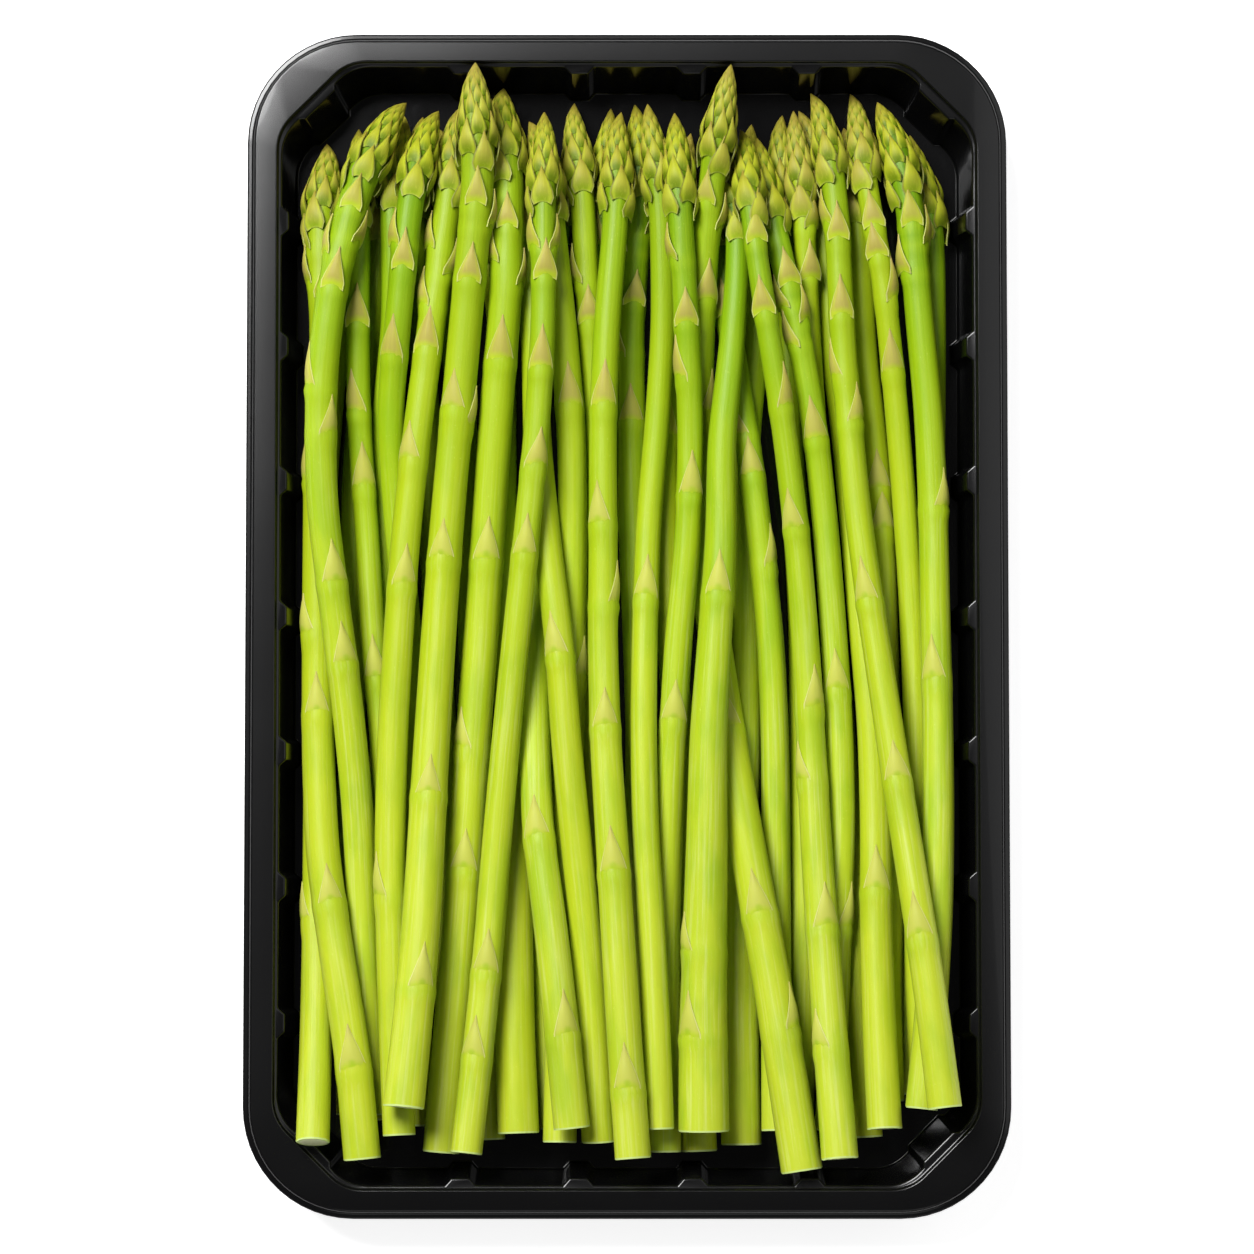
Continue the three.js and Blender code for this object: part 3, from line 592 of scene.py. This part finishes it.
leaf = {
    "columns": 4,
    "rows": 6,
    "thick": 0.18,
    "clearance": 0.12,
    "tipGap": 0.05,
    "leastRadius": 0.3,
    "bellyReach": 1.05,
    "bellyPower": 0.8,
    "footSag": 0.35,
    "hug": 0.55,
    "looseHug": 0.3,
    "stemHalfWidth": 2.95,
    "neckNarrowing": 0.3,
    "stemLength": 8.6,
    "neckShortening": 0.16,
    "stemLift": 0.4,
    "tipLift": 0.1,
    "looseFrom": 35,
    "looseTo": 60,
    "looseLift": 0.4,
    "looseTipLift": 0.35,
    "widestTurn": math.radians(80),
    "tipFade": 4,
    "fadeStart": 0.4,
    "shortest": 0.9,
    "longest": 1.08,
    "narrowest": 0.92,
    "widest": 1.08,
    "twist": 0.06,
    "cornerLift": 0.6,
}


# 0 below low, 1 above high, smooth between
def smoothShare(value, low, high):
    share = min(1, max(0, (value - low) / (high - low)))
    return share * share * (3 - 2 * share)


# How high a scale is widest, how wide its foot is, and how its sides run to the tip
leafEdge = {
    "headShoulder": 0.2,
    "headFoot": 0.8,
    "headPower": 1.2,
    "stemShoulder": 0.1,
    "stemFoot": 0.94,
    "stemPower": 1.1,
    "tip": 0.03,
}


# Half-width of a scale from its foot to its tip, as a share of its widest
def leafOutline(up, inHead):
    if inHead:
        shoulder, foot = leafEdge["headShoulder"], leafEdge["headFoot"]
        if up < shoulder:
            return foot + (1 - foot) * math.sin(up / shoulder * math.pi / 2)
        rise = (up - shoulder) / (1 - shoulder)
        return max(leafEdge["tip"], 1 - rise ** leafEdge["headPower"])
    shoulder, foot = leafEdge["stemShoulder"], leafEdge["stemFoot"]
    if up < shoulder:
        return foot + (1 - foot) * up / shoulder
    rise = (up - shoulder) / (1 - shoulder)
    return max(leafEdge["tip"], (1 - rise) ** leafEdge["stemPower"])


# One pointed leaf scale, wrapped round the straight stem
def growScale(shape, spear, scale):
    layers = spear["layers"]
    made = bmesh.ops.create_grid(shape, x_segments=leaf["columns"], y_segments=leaf["rows"], size=1)
    verts = made["verts"]
    for v in verts:
        across, up = v.co.x, (v.co.y + 1) / 2
        sag = leaf["footSag"] * scale["halfWidth"] * across * across * (1 - up)
        place = scale["foot"] + scale["length"] * up - sag
        place = min(place, spear["length"] - leaf["tipGap"])
        radius = stemRadius(spear, spear["length"] - place)
        width = scale["halfWidth"] * leafOutline(up, scale["inHead"])
        turn = min(leaf["widestTurn"], width / max(radius, leaf["leastRadius"])) * across
        belly = math.sin(math.pi * min(1, leaf["bellyReach"] * up) ** leaf["bellyPower"])
        lift = scale["lift"] * belly + scale["tipLift"] * up + leaf["clearance"]
        lift *= min(1, (spear["length"] - place + leaf["fadeStart"]) / leaf["tipFade"])
        hug = leaf["hug"] + (leaf["looseHug"] - leaf["hug"]) * scale["loose"]
        radius += lift * (1 - hug * across * across)
        radius += leaf["cornerLift"] * scale["loose"] * across * across * (1 - up) ** 2
        angle = scale["facing"] + turn + scale["twist"] * up
        v.co = (radius * math.sin(angle), place, radius * math.cos(angle))
        v[layers["fromTip"]] = spear["length"] - place
        v[layers["leafUp"]] = up
        v[layers["leafAcross"]] = abs(across)
        v[layers["tone"]] = scale["tone"]
        v[layers["blush"]] = spear["tone"]
    faces = list({f for v in verts for f in v.link_faces})
    for f in faces:
        f.material_index = 1
    bmesh.ops.recalc_face_normals(shape, faces=faces)
    if sum(f.normal.dot(outwards(f)) for f in faces) < 0:
        bmesh.ops.reverse_faces(shape, faces=faces)
    bmesh.ops.solidify(shape, geom=faces, thickness=leaf["thick"])


def outwards(face):
    centre = face.calc_center_median()
    return Vector((centre.x, 0, centre.z))


spiral = {
    "turn": math.radians(137.5),
    "first": 1.6,
    "last": 23,
    "gap": 0.2,
    "gapGrowth": 0.0021,
    "length": 2.4,
    "lengthGrowth": 0.25,
    "longest": 7.2,
    "tipGap": 0.1,
    "halfWidth": 0.5,
    "widthGrowth": 0.064,
    "lift": 0.16,
    "liftGrowth": 0.012,
    "tipLift": 0.14,
    "looseFrom": 10,
    "looseTo": 19,
    "looseLift": 0.55,
    "looseTipLift": 0.4,
    "stray": 0.1,
    "shorter": 0.95,
    "longer": 1.05,
    "twist": 0.08,
}


# The overlapping scales of a head, on a spiral from the tip down, then the ones listed on the stem
def planScales(spear, number, random):
    scales = []
    fromTip = spiral["first"]
    facing = random.uniform(0, 2 * math.pi)
    while fromTip < spiral["last"]:
        loose = smoothShare(fromTip, spiral["looseFrom"], spiral["looseTo"])
        length = spiral["length"] + spiral["lengthGrowth"] * fromTip
        length = min(length, spiral["longest"], fromTip - spiral["tipGap"])
        scales.append({
            "foot": spear["length"] - fromTip,
            "facing": facing + random.uniform(-spiral["stray"], spiral["stray"]),
            "length": length * random.uniform(spiral["shorter"], spiral["longer"]),
            "halfWidth": spiral["halfWidth"] + spiral["widthGrowth"] * fromTip,
            "lift": spiral["lift"] + spiral["liftGrowth"] * fromTip + spiral["looseLift"] * loose,
            "tipLift": spiral["tipLift"] + spiral["looseTipLift"] * loose,
            "twist": random.uniform(-spiral["twist"], spiral["twist"]),
            "tone": random.uniform(0, 1),
            "loose": loose,
            "inHead": True,
        })
        facing += spiral["turn"]
        fromTip += spiral["gap"] + spiral["gapGrowth"] * fromTip * fromTip
    for y, degrees in stemScales.get(number, []):
        foot = float(np.interp(y, spear["line"][:, 1], spear["places"]))
        loose = 1 - smoothShare(spear["length"] - foot, leaf["looseFrom"], leaf["looseTo"])
        length = leaf["stemLength"] * (1 - leaf["neckShortening"] * loose)
        halfWidth = leaf["stemHalfWidth"] * (1 - leaf["neckNarrowing"] * loose)
        scales.append({
            "foot": foot,
            "facing": math.radians(degrees),
            "length": length * random.uniform(leaf["shortest"], leaf["longest"]),
            "halfWidth": halfWidth * random.uniform(leaf["narrowest"], leaf["widest"]),
            "lift": leaf["stemLift"] + leaf["looseLift"] * loose,
            "tipLift": leaf["tipLift"] + leaf["looseTipLift"] * loose,
            "twist": random.uniform(-leaf["twist"], leaf["twist"]),
            "tone": random.uniform(0, 1),
            "loose": loose,
            "inHead": False,
        })
    return scales


# Bends a straight spear's points along its middle line
def bend(mesh, spear):
    points = np.empty(len(mesh.vertices) * 3)
    mesh.vertices.foreach_get("co", points)
    points = points.reshape(-1, 3)
    nearTip = np.clip(1 - (spear["length"] - points[:, 1]) / head["leanFrom"], 0, 1)
    points[:, 0] += spear["lean"] * nearTip ** 3
    grain = mesh.attributes.new("grain", "FLOAT_VECTOR", "POINT")
    grain.data.foreach_set("vector", (points + spear["grainShift"]).ravel())
    place = points[:, 1]
    places = spear["places"]
    middle = np.stack([np.interp(place, places, spear["line"][:, k]) for k in range(3)], axis=1)
    ahead = np.stack([np.interp(place, places, spear["ahead"][:, k]) for k in range(3)], axis=1)
    ahead /= np.linalg.norm(ahead, axis=1)[:, None]
    beyond = place - np.clip(place, 0, spear["length"])
    right = np.cross(ahead, (0, 0, 1))
    right /= np.linalg.norm(right, axis=1)[:, None]
    up = np.cross(right, ahead)
    bent = middle + beyond[:, None] * ahead + points[:, :1] * right + points[:, 2:] * up
    mesh.vertices.foreach_set("co", (bent * millimetre).ravel())
    mesh.update()


def growSpear(node, number):
    random = np.random.default_rng(body["seed"] + number)
    spear = readSpear(node)
    spear["tone"] = random.uniform(0, 1)
    spear["lean"] = random.uniform(-1, 1) * head["lean"]
    spear["grainShift"] = random.uniform(-body["grainShift"], body["grainShift"], 3)
    shape = bmesh.new()
    marks = ("fromTip", "leafUp", "leafAcross", "tone", "blush", "node")
    spear["layers"] = {name: shape.verts.layers.float.new(name) for name in marks}
    scales = planScales(spear, number, random)
    growBody(shape, spear, scales, random)
    for scale in scales:
        growScale(shape, spear, scale)
    name = f"asparagus_{number:02d}"
    mesh = bpy.data.meshes.new(name)
    shape.to_mesh(mesh)
    shape.free()
    bend(mesh, spear)
    for key in ("skin", "leaf", "cut"):
        mesh.materials.append(materials[key])
    mesh.shade_smooth()
    mesh.set_sharp_from_angle(angle=body["sharpest"])
    addPiece(name, mesh, node)


def addPiece(name, mesh, node):
    piece = bpy.data.objects.new(name, mesh)
    bpy.context.scene.collection.objects.link(piece)
    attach(piece, "root")
    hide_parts(node)
    return piece


spearCount = 38
for number in range(1, spearCount + 1):
    growSpear(f"spear_{number:02d}", number)
print("spears grown")

# The tray: halves are from the middle to a long side, then to a short side
tray = {
    "height": 17,
    "sheet": 0.8,
    "rimHalf": (76.1, 118.3),
    "rimRadius": 22,
    "lipWidth": 1.5,
    "lipStep": 0.32,
    "lipDrop": 0.7,
    "flangeFall": 0.3,
    "skirt": 3,
    "mouthHalf": (70, 112.5),
    "ledgeWidth": 0.8,
    "ledgeDrop": 1,
    "floorHalf": (67.2, 109),
    "cornerCut": 14,
    "cornerRadius": 9,
    "steps": 7,
    "bevel": 0.45,
    "sharpest": math.radians(22),
}
rib = {"root": 3, "crest": 1.8, "depth": 1.4}
lug = {"root": 5, "crest": 4.2, "depth": 0.9}
shortSideRibs = [-33, -9.6, 13, 36.1]
longSideRibs = [-79.7, -52.7, -25.7, 1.3, 28.3, 55.3, 80.5]


# Closed outline at one height: rounded corners, and trapezoid ribs on the sides that have them
def outline(shape, corners, radius, steps, height, ribs):
    points = []
    for i, corner in enumerate(corners):
        here = Vector(corner)
        toNext = Vector(corners[(i + 1) % len(corners)]) - here
        toLast = Vector(corners[i - 1]) - here
        sideLength = toNext.length
        toNext.normalize()
        toLast.normalize()
        half = toNext.angle(toLast) / 2
        middle = here + (toNext + toLast).normalized() * radius / math.sin(half)
        start = here + toLast * radius / math.tan(half) - middle
        sweep = math.pi - 2 * half
        for k in range(steps):
            turn = sweep * k / (steps - 1)
            x = start.x * math.cos(turn) - start.y * math.sin(turn)
            y = start.x * math.sin(turn) + start.y * math.cos(turn)
            points.append(middle + Vector((x, y)))
        inward = Vector((-toNext.y, toNext.x))
        for at, kind in ribs[i] if ribs else []:
            place = sideLength / 2 + at
            root, crest, depth = kind["root"], kind["crest"], kind["depth"]
            for offset, out in ((-root, 0), (-crest, depth), (crest, depth), (root, 0)):
                points.append(here + toNext * (place + offset) + inward * out)
    verts = [shape.verts.new((p.x, p.y, height)) for p in points]
    return [shape.edges.new((a, b)) for a, b in zip(verts, verts[1:] + verts[:1])]


def cutCorners(half):
    x, y = half
    cut = tray["cornerCut"]
    return [
        (x, y - cut), (x - cut, y), (cut - x, y), (-x, y - cut),
        (-x, cut - y), (cut - x, -y), (x - cut, -y), (x, cut - y),
    ]


def rimCorners(offset):
    x, y = tray["rimHalf"][0] + offset, tray["rimHalf"][1] + offset
    return [(x, y), (-x, y), (-x, -y), (x, -y)]


def mouldTray():
    shape = bmesh.new()
    height, steps = tray["height"], tray["steps"]
    corner = [(0, lug)]
    bottom = [(x, rib) for x in shortSideRibs]
    top = [(-x, rib) for x in reversed(shortSideRibs)]
    right = [(y, rib) for y in longSideRibs]
    left = [(-y, rib) for y in reversed(longSideRibs)]
    ribs = [corner, top, corner, left, corner, bottom, corner, right]
    ledge = height - tray["ledgeDrop"]
    wallTop = [half - tray["ledgeWidth"] for half in tray["mouthHalf"]]
    radius = tray["cornerRadius"]
    flange = height - tray["flangeFall"]
    lip = height - tray["lipDrop"] - tray["flangeFall"]

    def rim(offset, z):
        return outline(shape, rimCorners(offset), tray["rimRadius"] + offset, 2 * steps, z, None)

    def mouth(z):
        return outline(shape, cutCorners(tray["mouthHalf"]), radius, steps, z, None)

    floor = outline(shape, cutCorners(tray["floorHalf"]), radius, steps, tray["sheet"], ribs)
    wall = outline(shape, cutCorners(wallTop), radius, steps, ledge, ribs)
    ledgeEdge, mouthEdge = mouth(ledge), mouth(height)
    lipInside = -tray["lipWidth"]
    rims = [
        rim(lipInside, flange),
        rim(lipInside + tray["lipStep"], lip),
        rim(0, lip),
        rim(0, height - tray["skirt"]),
    ]
    bmesh.ops.bridge_loops(shape, edges=floor + wall)
    bmesh.ops.bridge_loops(shape, edges=ledgeEdge + mouthEdge)
    bmesh.ops.bridge_loops(shape, edges=mouthEdge + rims[0])
    for inner, outer in zip(rims, rims[1:]):
        bmesh.ops.bridge_loops(shape, edges=inner + outer)
    bmesh.ops.triangle_fill(shape, edges=wall + ledgeEdge, use_beauty=True)
    bmesh.ops.contextual_create(shape, geom=floor)
    bmesh.ops.recalc_face_normals(shape, faces=shape.faces)
    level = max(shape.faces, key=lambda f: f.calc_area())
    if level.normal.z < 0:
        bmesh.ops.reverse_faces(shape, faces=shape.faces)
    inner = [e for e in shape.edges if len(e.link_faces) == 2]
    bends = [e for e in inner if e.calc_face_angle() > tray["sharpest"]]
    bmesh.ops.bevel(
        shape, geom=bends, offset=tray["bevel"], offset_type="OFFSET", segments=2, profile=0.5,
        affect="EDGES", clamp_overlap=True, material=-1,
    )
    mesh = bpy.data.meshes.new("asparagusTray")
    bmesh.ops.scale(shape, vec=(millimetre,) * 3, verts=shape.verts)
    shape.to_mesh(mesh)
    shape.free()
    mesh.materials.append(materials["plastic"])
    mesh.shade_smooth()
    piece = addPiece("asparagusTray", mesh, "tray")
    sheet = piece.modifiers.new("sheet", "SOLIDIFY")
    sheet.thickness = tray["sheet"] * millimetre
    sheet.offset = -1
    piece.modifiers.new("flatNormals", "WEIGHTED_NORMAL").keep_sharp = True


mouldTray()
print("tray moulded")

# Stage, in metres: a pale floor that glows, a strong soft light from the upper left and two weak ones
studio = {
    "floorHalf": 4,
    "floorDrop": 0.0003,
    "floorColour": (0.93, 0.93, 0.93),
    "world": 0.05,
    "floorGlow": 0.8,
    "key": {"place": (-0.52, 0.66, 1.2), "size": 0.7, "power": 32.5},
    "fill": {"place": (0.6, 0.2, 0.9), "size": 0.9, "power": 1.8},
    "front": {"place": (0.1, -1.1, 0.8), "size": 0.9, "power": 1.5},
}


def addFloor():
    shape = bmesh.new()
    bmesh.ops.create_grid(shape, x_segments=1, y_segments=1, size=studio["floorHalf"])
    mesh = bpy.data.meshes.new("studioFloor")
    shape.to_mesh(mesh)
    shape.free()
    graph = Graph("studioPaper")
    paper = graph.finish(
        Base_Color=studio["floorColour"],
        Roughness=0.9,
        Emission_Color=(1.0, 1.0, 1.0),
        Emission_Strength=studio["floorGlow"],
    )
    mesh.materials.append(paper)
    floor = bpy.data.objects.new("studioFloor", mesh)
    floor.location.z = -studio["floorDrop"]
    bpy.context.scene.collection.objects.link(floor)


def addLight(name):
    settings = studio[name]
    light = bpy.data.lights.new(name, "AREA")
    light.shape = "DISK"
    light.size = settings["size"]
    light.energy = settings["power"]
    lamp = bpy.data.objects.new(name, light)
    lamp.location = settings["place"]
    lamp.rotation_euler = (-Vector(settings["place"])).to_track_quat("-Z", "Y").to_euler()
    bpy.context.scene.collection.objects.link(lamp)


addFloor()
for name in ("key", "fill", "front"):
    addLight(name)
world = bpy.data.worlds.new("studioWorld")
world.use_nodes = True
world.node_tree.nodes["Background"].inputs["Color"].default_value = (1, 1, 1, 1)
world.node_tree.nodes["Background"].inputs["Strength"].default_value = studio["world"]
bpy.context.scene.world = world
bpy.context.scene.view_settings.view_transform = "Standard"

# Camera: almost straight down from a metre away
lens = {"elevation": math.radians(86), "distance": 1.0, "across": 0.2495, "aim": (0, -0.0011, 0.017)}
camera = bpy.data.objects.new("camera", bpy.data.cameras.new("camera"))
camera.data.sensor_width = 36
camera.data.lens = camera.data.sensor_width * lens["distance"] / lens["across"]
back = Vector((0, -math.cos(lens["elevation"]), math.sin(lens["elevation"])))
camera.location = Vector(lens["aim"]) + back * lens["distance"]
camera.rotation_euler = back.to_track_quat("Z", "Y").to_euler()
bpy.context.scene.collection.objects.link(camera)
bpy.context.scene.camera = camera
print("stage and camera set")
